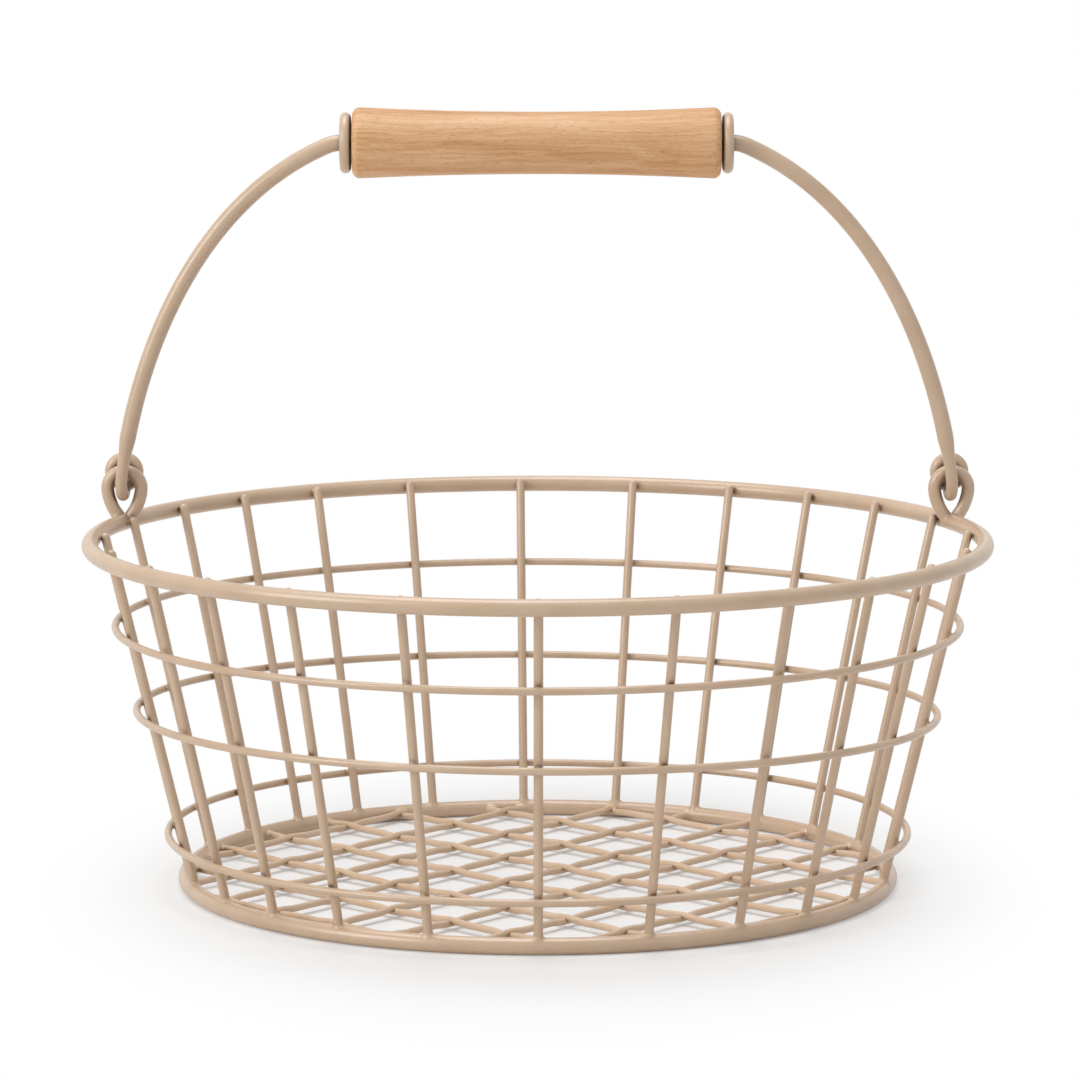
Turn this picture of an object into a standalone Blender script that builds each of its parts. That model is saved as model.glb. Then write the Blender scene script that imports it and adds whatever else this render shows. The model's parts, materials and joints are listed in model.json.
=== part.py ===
"""A round wire basket with a swinging bail and a turned wooden grip.

Metres, +Z up. The origin is on the floor, on the basket's own axis. +X is the basket's right and
+Y its back. An azimuth is an angle about the axis, from the back (+Y) towards the right (+X).
"""

import math

import bmesh
import bpy
from mathutils import Vector

# Fits between pieces
WELD_GAP = 0.0003
HOOK_CLEARANCE = 0.001
GRIP_BORE_CLEARANCE = 0.0005
GRIP_END_PLAY = 0.0004
FLOOR_CLEARANCE = 0.0002

# Frame of the basket: the rim, the base ring and the heights of what lies between
RIM_RADIUS = 0.14725
RIM_HEIGHT = 0.114
BASE_RADIUS = 0.1165
FRAME_WIRE = 0.0055
HOOP_WIRE = 0.0025
HOOP_HEIGHTS = {"hoop_upper": 0.087, "hoop_middle": 0.0579, "hoop_lower": 0.0175}
# How much a hoop that isn't quite level climbs towards the right and towards the back
HOOP_SLOPES = {"hoop_middle": (-0.0076, -0.0231)}

# Staves, welded inside the rim and the hoops and standing on the base ring
STAVE_WIRE = 0.003
STAVE_COUNT = 24
STAVE_TOP_RISE = 0.0021
STAVE_PHASE = math.radians(-1.3)
STAVE_DRIFT_BACK = math.radians(-1.2)
STAVE_DRIFT_RIGHT = math.radians(-2.3)
STAVE_BUNCHING = math.radians(1.9)
STAVE_BUNCHES = 4

# Woven mesh of the base: two families of crimped wires that cross in diamonds. A family's pitch and
# the reach of its outermost wire are shares of the base's radius, its shift off the axis of its pitch
MESH_WIRE = 0.0023
MESH_HEADINGS = {"right": math.radians(50.9), "left": math.radians(-45.0)}
MESH_PITCH_SHARES = {"right": 0.2253, "left": 0.2472}
MESH_SHIFT_SHARES = {"right": -0.088, "left": 0.368}
MESH_REACH_SHARE = 0.95
MESH_HUMP_REACH = 0.006

# Ears, the two wire loops on the rim that carry the bail. Their legs bow out below the round top
EAR_AZIMUTH = math.radians(71.5)
EAR_WIRE = 0.0044
EAR_LOOP_RADIUS = 0.00565
EAR_RISE = 0.0115
EAR_SIDE_LEAD = 0.0032
EAR_FOOT_LEAD = 0.0022
EAR_FOOT_SPLAY = math.radians(36.0)
EAR_FOOT_SLIT = 0.0009

# Bail, whose heights are above its hinge. It sits a little left of the basket's middle
BAIL_WIRE = 0.0055
BAIL_ASIDE = 0.0004
GRIP_RISE = 0.1112
BAIL_BEND_LEAD = 0.0021
BAIL_SLOPE = math.radians(22.9)
BAIL_LEAN = math.radians(7.0)
BAIL_SHOULDER_SHARE = 0.335
BAIL_DROP_SHARE = 0.318
HOOK_WIRE = 0.0041
HOOK_SLACK = 0.0028
HOOK_LEAN = 0.0006
EYE_RADIUS = 0.0045
EYE_DROP = 0.0007
EYE_NECK_BITE = 0.0011
EYE_NECK_SHARE = 0.75
TAPER_LOW = 0.0045
TAPER_HIGH = 0.0125

# Grip and the two collars that keep it in the middle of the bail
GRIP_LENGTH = 0.1232
GRIP_END_DIAMETER = 0.0237
GRIP_WAIST_DIAMETER = 0.0208
GRIP_EDGE = 0.0026
COLLAR_DIAMETER = 0.0204
COLLAR_THICKNESS = 0.0037

# How finely round shapes are cut
RING_STEPS = 72
FRAME_SIDES = 10
RIM_SIDES = 8
THIN_SIDES = 6
STAVE_SIDES = 8
TURNED_STEPS = 24

# Finishes: base colour, roughness and metallic
COAT = ((0.55, 0.39, 0.26), 0.38, 0.0)
BEECH = ((0.68, 0.385, 0.195), 0.5, 0.0)

# Sizes that follow
FRAME_WIRE_RADIUS = FRAME_WIRE / 2
HOOP_WIRE_RADIUS = HOOP_WIRE / 2
STAVE_WIRE_RADIUS = STAVE_WIRE / 2
MESH_WIRE_RADIUS = MESH_WIRE / 2
MESH_PITCHES = {family: BASE_RADIUS * share for family, share in MESH_PITCH_SHARES.items()}
MESH_SHIFTS = {family: MESH_PITCHES[family] * share for family, share in MESH_SHIFT_SHARES.items()}
MESH_CROSSING = MESH_HEADINGS["right"] - MESH_HEADINGS["left"]
EAR_WIRE_RADIUS = EAR_WIRE / 2
BAIL_WIRE_RADIUS = BAIL_WIRE / 2
HOOK_WIRE_RADIUS = HOOK_WIRE / 2
BASE_HEIGHT = FRAME_WIRE_RADIUS * math.cos(math.pi / FRAME_SIDES)
MESH_CRIMP = MESH_WIRE_RADIUS + WELD_GAP / 2
MESH_HEIGHT = FLOOR_CLEARANCE + MESH_CRIMP + MESH_WIRE_RADIUS
EAR_X = RIM_RADIUS * math.sin(EAR_AZIMUTH)
EAR_Y = RIM_RADIUS * math.cos(EAR_AZIMUTH)
HINGE_HEIGHT = RIM_HEIGHT + EAR_RISE + EAR_LOOP_RADIUS
HOOK_REACH = EAR_WIRE_RADIUS + HOOK_WIRE_RADIUS + HOOK_CLEARANCE
COLLAR_INNER_X = GRIP_LENGTH / 2 + GRIP_END_PLAY
COLLAR_OUTER_X = COLLAR_INNER_X + COLLAR_THICKNESS


def clear_scene():
    for old in list(bpy.data.objects):
        bpy.data.objects.remove(old, do_unlink=True)


def finish(name, look):
    """A plain Principled material for one sub-part."""
    colour, roughness, metallic = look
    material = bpy.data.materials.new(name)
    material.use_nodes = True
    shader = material.node_tree.nodes["Principled BSDF"]
    shader.inputs["Base Color"].default_value = (*colour, 1.0)
    shader.inputs["Roughness"].default_value = roughness
    shader.inputs["Metallic"].default_value = metallic
    material.diffuse_color = (*colour, 1.0)
    return material


def add_object(name, mesh, parent=None):
    made = bpy.data.objects.new(name, mesh)
    bpy.context.scene.collection.objects.link(made)
    made.parent = parent
    return made


def add_pivot(name, place, parent=None):
    """An empty on a joint's axis."""
    pivot = add_object(name, None, parent)
    pivot.location = place
    return pivot


def mesh_from_rings(name, rings, closed, material):
    """One skin over equal rings of points. An open run of rings is capped at both ends."""
    shape = bmesh.new()
    rows = [[shape.verts.new(point) for point in ring] for ring in rings]
    sides = len(rows[0])
    following = rows[1:] + rows[:1] if closed else rows[1:]
    for row, after in zip(rows, following):
        for i in range(sides):
            j = (i + 1) % sides
            shape.faces.new((row[i], row[j], after[j], after[i]))
    if not closed:
        shape.faces.new(rows[0][::-1])
        shape.faces.new(rows[-1])
    bmesh.ops.recalc_face_normals(shape, faces=shape.faces)
    mesh = bpy.data.meshes.new(name)
    shape.to_mesh(mesh)
    shape.free()
    mesh.materials.append(material)
    mesh.shade_smooth()
    mesh.set_sharp_from_angle(angle=math.radians(50))
    return mesh


def circle_points(radius, sides, start=0.0):
    """A regular outline as (across, up) pairs, its first corner at the angle start."""
    turns = [start + 2 * math.pi * i / sides for i in range(sides)]
    return [(radius * math.cos(turn), radius * math.sin(turn)) for turn in turns]


def flat_bottomed_start(sides):
    """The first corner's angle that lays one side of the outline flat at the bottom."""
    return -math.pi / 2 + math.pi / sides


def around_axis(outline, steps):
    """Turns an outline of (radius, height) pairs about Z."""
    rings = []
    for i in range(steps):
        turn = 2 * math.pi * i / steps
        rings.append([(r * math.sin(turn), r * math.cos(turn), z) for r, z in outline])
    return rings


def wire_ring(name, radius, height, wire_radius, sides, start, material):
    """A closed hoop of round wire, lying level."""
    section = circle_points(wire_radius, sides, start)
    outline = [(radius + across, height + up) for across, up in section]
    mesh = mesh_from_rings(name, around_axis(outline, RING_STEPS), True, material)
    return add_object(name, mesh)


def swept_rings(path, radii, sides):
    """Rings of a wire along a path of points, carried from point to point without twist."""
    rings = []
    along = (path[1] - path[0]).normalized()
    across = along.orthogonal().normalized()
    for i, point in enumerate(path):
        before = (point - path[i - 1]).normalized() if i else along
        after = (path[i + 1] - point).normalized() if i + 1 < len(path) else before
        heading = (before + after).normalized()
        across = along.rotation_difference(heading) @ across
        along = heading
        up = along.cross(across)
        outline = circle_points(radii[i], sides)
        rings.append([point + across * a + up * b for a, b in outline])
    return rings


def arc(centre, radius, first, last, steps):
    """Points (across, up) on an arc from one angle to another, both ends among them."""
    angles = [first + (last - first) * i / steps for i in range(steps + 1)]
    return [
        (centre[0] + radius * math.cos(angle), centre[1] + radius * math.sin(angle))
        for angle in angles
    ]


def curve(start, leaving, arriving, end, steps):
    """Points on the smooth curve between two ends, drawn towards two points between them."""
    points = []
    for i in range(steps + 1):
        done = i / steps
        left = 1 - done
        first = start * left**3 + leaving * (3 * left**2 * done)
        second = arriving * (3 * left * done**2) + end * done**3
        points.append(first + second)
    return points


def rim_ring():
    coat = finish("rim_coat", COAT)
    wire_ring("rim_ring", RIM_RADIUS, RIM_HEIGHT, FRAME_WIRE_RADIUS, RIM_SIDES, 0.0, coat)


def base_ring():
    """The ring that the basket stands on, with a flat along the bottom."""
    coat = finish("base_ring_coat", COAT)
    start = flat_bottomed_start(FRAME_SIDES)
    wire_ring(
        "base_ring", BASE_RADIUS, BASE_HEIGHT, FRAME_WIRE_RADIUS, FRAME_SIDES, start, coat
    )


def stave_foot():
    """(radius, height) of the middle of a stave's foot, on top of the base ring."""
    return BASE_RADIUS, BASE_HEIGHT + FRAME_WIRE_RADIUS + WELD_GAP


def stave_lean():
    """The lean that lays a stave against the inner side of the rim."""
    radius, height = stave_foot()
    run = RIM_RADIUS - radius
    rise = RIM_HEIGHT - height
    apart = FRAME_WIRE_RADIUS + WELD_GAP + STAVE_WIRE_RADIUS
    return math.atan2(run, rise) - math.asin(apart / math.hypot(run, rise))


def stave_angle(index):
    """Azimuth of a stave: even steps, with the slow drift and the bunching that the basket has."""
    even = 2 * math.pi * index / STAVE_COUNT
    drift = STAVE_DRIFT_BACK * math.cos(even) + STAVE_DRIFT_RIGHT * math.sin(even)
    return even + STAVE_PHASE + drift + STAVE_BUNCHING * math.sin(STAVE_BUNCHES * even)


def staves():
    """Straight rods that share one mesh, each turned about the basket's axis to its azimuth."""
    radius, height = stave_foot()
    lean = stave_lean()
    rise = RIM_HEIGHT + STAVE_TOP_RISE - height
    foot = Vector((0.0, radius, height))
    top = foot + Vector((0.0, rise * math.tan(lean), rise))
    rings = swept_rings([foot, top], [STAVE_WIRE_RADIUS] * 2, STAVE_SIDES)
    mesh = mesh_from_rings("stave", rings, False, finish("stave_coat", COAT))
    for index in range(STAVE_COUNT):
        stave = add_object(f"stave_{index + 1:02d}", mesh)
        stave.rotation_euler.z = -stave_angle(index)


def hoop_radius(height):
    """The radius at which a hoop lies against the outer side of the staves."""
    foot_radius, foot_height = stave_foot()
    lean = stave_lean()
    apart = STAVE_WIRE_RADIUS + WELD_GAP + HOOP_WIRE_RADIUS
    return foot_radius + (height - foot_height) * math.tan(lean) + apart / math.cos(lean)


def hoop(name, height, slopes, material):
    """A hoop that lies against the staves all round, level or at a slope."""
    section = circle_points(HOOP_WIRE_RADIUS, THIN_SIDES)
    rings = []
    for i in range(RING_STEPS):
        turn = 2 * math.pi * i / RING_STEPS
        outward = Vector((math.sin(turn), math.cos(turn), 0.0))
        climb = slopes[0] * outward.x + slopes[1] * outward.y
        radius = hoop_radius(height) / (1 - climb * math.tan(stave_lean()))
        middle = outward * radius + Vector((0.0, 0.0, height + climb * radius))
        rings.append([middle + outward * across + Vector((0.0, 0.0, up)) for across, up in section])
    add_object(name, mesh_from_rings(name, rings, True, material))


def hoops():
    coat = finish("hoop_coat", COAT)
    for name, height in HOOP_HEIGHTS.items():
        hoop(name, height, HOOP_SLOPES.get(name, (0.0, 0.0)), coat)


def mesh_offsets(family):
    """How far each wire of a family lies from the basket's axis, to the left of its run."""
    reach = BASE_RADIUS * MESH_REACH_SHARE
    pitch = MESH_PITCHES[family]
    most = math.ceil(BASE_RADIUS / pitch) + 1
    places = [MESH_SHIFTS[family] + i * pitch for i in range(-most, most + 1)]
    return [place for place in places if abs(place) < reach]


def crimp_height(along, first_crossing, spacing, over):
    """Height of a crimped wire's middle: level, with a short hump or dip at each crossing."""
    nearest = round((along - first_crossing) / spacing)
    aside = abs(along - first_crossing - nearest * spacing)
    sign = 1 if (nearest % 2 == 0) == over else -1
    return sign * MESH_CRIMP * max(0.0, 1 - aside / MESH_HUMP_REACH)


def reach_to_base_ring(offset, height):
    """How far a line at this offset and height runs from its middle to the base ring."""
    up = min(abs(height - BASE_HEIGHT), FRAME_WIRE_RADIUS)
    inset = math.sqrt((FRAME_WIRE_RADIUS + WELD_GAP) ** 2 - up**2)
    inner = BASE_RADIUS * math.cos(math.pi / RING_STEPS) - inset
    return math.sqrt(inner**2 - offset**2)


def mesh_wire(name, offset, heading, first_crossing, spacing, over, material):
    """One crimped wire across the base, its ends cut to the round of the base ring."""
    run = Vector((math.cos(heading), math.sin(heading), 0.0))
    left = Vector((-math.sin(heading), math.cos(heading), 0.0))
    half = reach_to_base_ring(abs(offset) + MESH_WIRE_RADIUS, MESH_HEIGHT)
    first = math.floor((-half - first_crossing) / spacing)
    last = math.ceil((half - first_crossing) / spacing)
    corners = []
    for crossing in range(first, last + 1):
        for shift in (-MESH_HUMP_REACH, 0.0, MESH_HUMP_REACH):
            corner = first_crossing + crossing * spacing + shift
            if abs(corner) < half - WELD_GAP:
                corners.append((0, corner))
    outline = circle_points(MESH_WIRE_RADIUS, THIN_SIDES)
    rings = []
    for end, along in [(-1, -half)] + corners + [(1, half)]:
        ring = []
        for across, up in outline:
            sideways = offset + across
            place = end * reach_to_base_ring(sideways, MESH_HEIGHT) if end else along
            height = MESH_HEIGHT + up + crimp_height(place, first_crossing, spacing, over)
            if end:
                place = end * reach_to_base_ring(sideways, height)
            ring.append(run * place + left * sideways + Vector((0.0, 0.0, height)))
        rings.append(ring)
    add_object(name, mesh_from_rings(name, rings, False, material))


def base_mesh():
    """The woven base. A right wire runs to the back and right, a left wire to the front and right."""
    coat = finish("mesh_coat", COAT)
    for family, other in (("right", "left"), ("left", "right")):
        spacing = MESH_PITCHES[other] / math.sin(MESH_CROSSING)
        side = 1 if family == "right" else -1
        for index, offset in enumerate(mesh_offsets(family)):
            # Where this wire meets the other family's wire that lies nearest the axis
            meeting = MESH_SHIFTS[other] - offset * math.cos(MESH_CROSSING)
            first_crossing = side * meeting / math.sin(MESH_CROSSING)
            step = round((offset - MESH_SHIFTS[family]) / MESH_PITCHES[family])
            over = (step % 2 == 0) == (family == "left")
            name = f"base_wire_{family}_{index + 1}"
            mesh_wire(name, offset, MESH_HEADINGS[family], first_crossing, spacing, over, coat)


def ear_foot(start, heading, inward):
    """Where a leg of an ear ends: no corner of its end face lies nearer the rim than a weld's gap.

    The rim crosses the ear's own plane on a slant, so the corners in front and behind count too.
    """
    reach = FRAME_WIRE_RADIUS + WELD_GAP
    along = Vector((heading.x * math.sin(EAR_AZIMUTH), heading.y))
    lengths = []
    for aside, depth in circle_points(EAR_WIRE_RADIUS, STAVE_SIDES):
        corner = start + inward * aside
        across = corner.x * math.sin(EAR_AZIMUTH) + depth * math.cos(EAR_AZIMUTH)
        from_rim = Vector((across, corner.y + EAR_RISE))
        nearest = -from_rim.dot(along) / along.length_squared
        spare = (from_rim.length_squared - reach**2) / along.length_squared
        if nearest**2 > spare:
            lengths.append(nearest - math.sqrt(nearest**2 - spare))
    return start + heading * min(lengths)


def ear_path():
    """(across, up) points of an ear, from its loop's centre: a round top on two bowed legs."""
    foot = Vector((EAR_WIRE_RADIUS + EAR_FOOT_SLIT / 2, FRAME_WIRE_RADIUS - EAR_RISE))
    side = Vector((EAR_LOOP_RADIUS, 0.0))
    rising = foot + Vector((math.sin(EAR_FOOT_SPLAY), math.cos(EAR_FOOT_SPLAY))) * EAR_FOOT_LEAD
    leg = curve(foot, rising, side - Vector((0.0, EAR_SIDE_LEAD)), side, 6)[1:-1]
    heading = (foot - leg[0]).normalized()
    inward = Vector((heading.y, -heading.x))
    right = [tuple(point) for point in [ear_foot(leg[0], heading, inward)] + leg]
    left = [(-across, up) for across, up in right]
    return right + arc((0.0, 0.0), EAR_LOOP_RADIUS, 0.0, math.pi, 10) + left[::-1]


def ears():
    coat = finish("ear_coat", COAT)
    path = ear_path()
    points = [Vector((across, 0.0, up)) for across, up in path]
    rings = swept_rings(points, [EAR_WIRE_RADIUS] * len(points), STAVE_SIDES)
    mesh = mesh_from_rings("ear", rings, False, coat)
    for name, side in (("ear_left", -1), ("ear_right", 1)):
        ear = add_object(name, mesh)
        ear.location = (side * EAR_X, EAR_Y, RIM_HEIGHT + EAR_RISE)


def bail_wire_radius(rise):
    """The bail's wire thins towards its hooks, by height above the hinge."""
    share = (rise - TAPER_LOW) / (TAPER_HIGH - TAPER_LOW)
    share = min(max(share, 0.0), 1.0)
    return HOOK_WIRE_RADIUS + share * (BAIL_WIRE_RADIUS - HOOK_WIRE_RADIUS)


def bail_half():
    """The right half of the bail from its middle to its hook, about the middle of the hinge.

    Gives (point, wire radius) pairs: the straight run under the grip, a bend, the arm, the stem
    in front of the ear and the hook through the ear.
    """
    bend_radius = BAIL_BEND_LEAD / math.tan(BAIL_SLOPE / 2)
    bend_centre = (COLLAR_OUTER_X, GRIP_RISE - bend_radius)
    bend = arc(bend_centre, bend_radius, math.pi / 2, math.pi / 2 - BAIL_SLOPE, 3)
    start = Vector(bend[-1])
    end = Vector((EAR_X + HOOK_LEAN / 2, -HOOK_SLACK))
    leaving = Vector((math.cos(BAIL_SLOPE), -math.sin(BAIL_SLOPE))) * (BAIL_SHOULDER_SHARE * EAR_X)
    arriving = Vector((-math.sin(BAIL_LEAN), math.cos(BAIL_LEAN))) * (BAIL_DROP_SHARE * EAR_X)
    arm = curve(start, start + leaving, end + arriving, end, 18)
    pairs = []
    for x, z in bend[:-1] + [tuple(point) for point in arm]:
        pairs.append((Vector((x, -HOOK_REACH, z)), bail_wire_radius(z)))
    # The tail ends inside the wire of the eye, above its middle
    tail = math.asin((EYE_DROP + EYE_RADIUS - EYE_NECK_BITE - HOOK_SLACK) / HOOK_REACH)
    bottom = arc((0.0, -HOOK_SLACK), HOOK_REACH, math.pi, 2 * math.pi - tail, 8)[1:]
    for y, z in bottom:
        inboard = HOOK_LEAN / 2 * y / HOOK_REACH
        pairs.append((Vector((EAR_X - inboard, y, z)), HOOK_WIRE_RADIUS))
    neck, radius = pairs[-1]
    pairs[-1] = (neck, radius * EYE_NECK_SHARE)
    return pairs


def bail_eye(name, side, material):
    """The closed eye that the wire's tail ends in, behind the ear."""
    centre = (side * EAR_X, -EYE_DROP)
    steps = 16
    section = circle_points(HOOK_WIRE_RADIUS, STAVE_SIDES)
    rings = []
    for i in range(steps):
        turn = 2 * math.pi * i / steps
        ring = []
        for out, depth in section:
            x = centre[0] + (EYE_RADIUS + out) * math.cos(turn)
            z = centre[1] + (EYE_RADIUS + out) * math.sin(turn)
            ring.append((x, HOOK_REACH + depth, z))
        rings.append(ring)
    return add_object(name, mesh_from_rings(name, rings, True, material))


def bail(pivot):
    """One bent wire with an eye joined to each end."""
    coat = finish("bail_coat", COAT)
    right = bail_half()
    left = [(Vector((-point.x, point.y, point.z)), radius) for point, radius in right]
    pairs = left[::-1] + right
    path = [point for point, _ in pairs]
    radii = [radius for _, radius in pairs]
    rings = swept_rings(path, radii, STAVE_SIDES)
    wire = add_object("bail", mesh_from_rings("bail", rings, False, coat), pivot)
    for name, side in (("eye_left", -1), ("eye_right", 1)):
        eye = bail_eye(name, side, coat)
        eye.parent = pivot
        eye.hide_render = True
        eye.display_type = "WIRE"
        join = wire.modifiers.new(name, "BOOLEAN")
        join.operation = "UNION"
        join.object = eye


def turned(name, outline, material):
    """A hollow piece turned about X, from an outline of (along, radius) pairs round its wall."""
    rings = []
    for i in range(TURNED_STEPS):
        turn = 2 * math.pi * i / TURNED_STEPS
        rings.append(
            [(x, radius * math.sin(turn), radius * math.cos(turn)) for x, radius in outline]
        )
    return mesh_from_rings(name, rings, True, material)


def grip(pivot):
    """Slightly waisted, with rounded ends and a bore that turns freely on the bail."""
    half = GRIP_LENGTH / 2
    end_radius = GRIP_END_DIAMETER / 2
    waist_depth = (GRIP_END_DIAMETER - GRIP_WAIST_DIAMETER) / 2
    bore = BAIL_WIRE_RADIUS + GRIP_BORE_CLEARANCE
    edge = arc((half - GRIP_EDGE, end_radius - GRIP_EDGE), GRIP_EDGE, 0.0, math.pi / 2, 3)
    flank = []
    for share in (0.6, 0.3, 0.0):
        bulge = waist_depth * (1 - share**2)
        flank.append((share * (half - GRIP_EDGE), end_radius - bulge))
    right = [(half, bore)] + edge + flank[:-1]
    left = [(-x, radius) for x, radius in right]
    mesh = turned("grip", right + flank[-1:] + left[::-1], finish("grip_beech", BEECH))
    add_object("grip", mesh, pivot)


def collar_outline():
    """A washer with a full round edge, as (along, radius) pairs from its middle."""
    half = COLLAR_THICKNESS / 2
    bore = BAIL_WIRE_RADIUS + WELD_GAP
    rim = arc((0.0, COLLAR_DIAMETER / 2 - half), half, 0.0, math.pi, 6)
    return [(half, bore)] + rim + [(-half, bore)]


def collars(pivot):
    mesh = turned("collar", collar_outline(), finish("collar_coat", COAT))
    middle = (COLLAR_INNER_X + COLLAR_OUTER_X) / 2
    for name, side in (("collar_left", -1), ("collar_right", 1)):
        collar = add_object(name, mesh, pivot)
        collar.location = (side * middle, -HOOK_REACH, GRIP_RISE)


def main():
    clear_scene()
    rim_ring()
    base_ring()
    staves()
    hoops()
    base_mesh()
    ears()
    bail_pivot = add_pivot("bail_pivot", (-BAIL_ASIDE, EAR_Y, HINGE_HEIGHT))
    bail(bail_pivot)
    collars(bail_pivot)
    grip(add_pivot("grip_pivot", (0.0, -HOOK_REACH, GRIP_RISE), bail_pivot))


main()
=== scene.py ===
"""Looks of the round wire basket: smooth coated wires with their welds, and a turned beech grip.

Metres, +Z up. +X is the basket's right and +Y its back. An azimuth is an angle about the
basket's axis, from the back (+Y) towards the right (+X).
"""

import json
import math

import bpy
import numpy as np
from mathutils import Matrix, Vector

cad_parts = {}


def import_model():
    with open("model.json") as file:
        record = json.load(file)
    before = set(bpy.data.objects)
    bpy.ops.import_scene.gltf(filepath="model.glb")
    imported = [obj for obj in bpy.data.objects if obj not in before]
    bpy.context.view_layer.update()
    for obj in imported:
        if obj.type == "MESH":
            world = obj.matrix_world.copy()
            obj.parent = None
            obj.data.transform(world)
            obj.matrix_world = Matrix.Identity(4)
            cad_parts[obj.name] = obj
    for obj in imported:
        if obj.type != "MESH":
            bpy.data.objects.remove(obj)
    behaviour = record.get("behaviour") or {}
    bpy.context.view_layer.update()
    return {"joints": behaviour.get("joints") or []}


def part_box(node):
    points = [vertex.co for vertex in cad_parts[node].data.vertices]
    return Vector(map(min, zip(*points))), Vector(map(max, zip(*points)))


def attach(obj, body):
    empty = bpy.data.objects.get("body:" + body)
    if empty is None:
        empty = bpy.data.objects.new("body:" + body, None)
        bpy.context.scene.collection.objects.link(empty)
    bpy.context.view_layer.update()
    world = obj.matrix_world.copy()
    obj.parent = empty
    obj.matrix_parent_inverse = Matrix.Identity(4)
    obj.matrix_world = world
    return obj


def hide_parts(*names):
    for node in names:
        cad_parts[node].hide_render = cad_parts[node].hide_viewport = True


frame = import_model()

# Wires and the gap that the solids keep at each weld
FRAME_WIRE = 0.0055
HOOP_WIRE = 0.0025
STAVE_WIRE = 0.003
MESH_WIRE = 0.0023
EAR_WIRE = 0.0044
BAIL_WIRE = 0.0055
HOOK_WIRE = 0.0041
WELD_GAP = 0.0003

# Welds: how far a skin sinks below the wires, the grid it is drawn on, how far each kind
# reaches, and the widths of its fillets, which the welds round a ring take in turn
WELD_SINK = 0.00004
WELD_CELL = 0.0004
RIM_WELD_REACH = 0.0036
RIM_WELD_OUT = STAVE_WIRE * 0.35
RIM_WELD_FILLETS = (0.0009, 0.0012, 0.0008)
HOOP_WELD_REACH = 0.0031
HOOP_WELD_FILLETS = (0.0011, 0.0014, 0.0009)
BASE_WELD_REACH = 0.0036
BASE_WELD_FILLETS = (0.0013, 0.0016, 0.0011)

# Staves
STAVE_COUNT = 24
STAVE_TOP_RISE = 0.0021
STAVE_TIP = 0.0012

# Hoops, and how much one that isn't quite level climbs towards the right and towards the back
HOOP_HEIGHTS = {"hoop_upper": 0.087, "hoop_middle": 0.0579, "hoop_lower": 0.0175}
HOOP_SLOPES = {"hoop_middle": (-0.0076, -0.0231)}

# Woven mesh of the base, whose two families of wires cross in diamonds and are pressed together
MESH_HEADINGS = {"right": math.radians(50.9), "left": math.radians(-45.0)}
MESH_PITCH_SHARES = {"right": 0.2253, "left": 0.2472}
MESH_SHIFT_SHARES = {"right": -0.088, "left": 0.368}
MESH_REACH_SHARE = 0.95
MESH_HUMP_RISE = 0.0005
MESH_HUMP_REACH = 0.009
MESH_WELD_REACH = 0.0024
MESH_WELD_FILLET = 0.0013
MESH_WELD_BITE = 0.0012
MESH_WELD_FLOOR = 0.0003

# Ears, whose fillet fades between the two legs, where a slit stays open
EAR_LOOP_RADIUS = 0.00565
EAR_RISE = 0.0115
EAR_SIDE_LEAD = 0.0032
EAR_FOOT_LEAD = 0.0022
EAR_FOOT_SPLAY = math.radians(36.0)
EAR_FOOT_SLIT = 0.0009
EAR_FOOT_BITE = 0.0030
EAR_WELD_REACH = 0.0058
EAR_WELD_CELL = 0.00035
EAR_FADE_START = 0.0008
EAR_FADE_WIDTH = 0.0022
EAR_FILLET_INSIDE = 0.0003
EAR_FILLET_GAIN = 0.0016

# Bail, whose heights are above its hinge
GRIP_RISE = 0.1112
BAIL_BEND_LEAD = 0.0021
BAIL_SLOPE = math.radians(22.9)
BAIL_LEAN = math.radians(7.0)
BAIL_SHOULDER_SHARE = 0.335
BAIL_DROP_SHARE = 0.318
HOOK_CLEARANCE = 0.001
HOOK_SLACK = 0.0028
HOOK_LEAN = 0.0006
HOOK_SWEEP_END = 1.74 * math.pi
HOOK_LINK_SHARE = 0.4
HOOK_TIP = HOOK_WIRE * 0.18
EYE_RADIUS = 0.0045
EYE_DROP = 0.0007
EYE_START = math.radians(-128)
EYE_END = math.radians(-418)
TAPER_LOW = 0.0045
TAPER_HIGH = 0.0125

# Grip, and collars that close on the bail's wire
GRIP_WAIST_DIAMETER = 0.0208
GRIP_EDGE = 0.0026
GRIP_BORE = 0.0065
GRIP_BORE_EDGE = 0.0005
COLLAR_BORE_RISE = 0.0004
COLLAR_BORE_SHARE = 0.9
COLLAR_THROAT_SHARE = 0.92

# How finely round shapes are cut
RING_STEPS = 240
FRAME_SIDES = 24
BAIL_SIDES = 20
THIN_SIDES = 14
MESH_SIDES = 12
STAVE_STEP = 0.02
MESH_STEP = 0.0012
EAR_LEG_STEPS = 20
EAR_TOP_STEPS = 30
BEND_STEPS = 8
ARM_STEPS = 90
HOOK_STEPS = 20
LINK_STEPS = 8
EYE_STEPS = 44
TURNED_STEPS = 72
GRIP_EDGE_STEPS = 10
GRIP_FLANK_STEPS = 16
COLLAR_EDGE_STEPS = 14
TIP_TURNS = [math.radians(degrees) for degrees in (25, 50, 75, 88)]
SHARP_ANGLE = math.radians(48)

# Steps of a wire's path that its weld takes as one straight rod
MESH_WELD_STEPS = 3
EAR_WELD_STEPS = 5

# How the points of a weld's skin are moved onto it
SETTLING_ROUNDS = 3
LEAST_STEEPNESS = 0.2

# Sizes read from the frame
BAIL_HINGE = Vector(next(j["pos_m"] for j in frame["joints"] if j["name"] == "bail_swing"))
GRIP_CENTRE = Vector(next(j["pos_m"] for j in frame["joints"] if j["name"] == "grip_spin"))


def ring_place(node, wire):
    """(radius, height) of the middle of a ring's wire."""
    low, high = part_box(node)
    return high.x - wire / 2, (low.z + high.z) / 2


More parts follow.
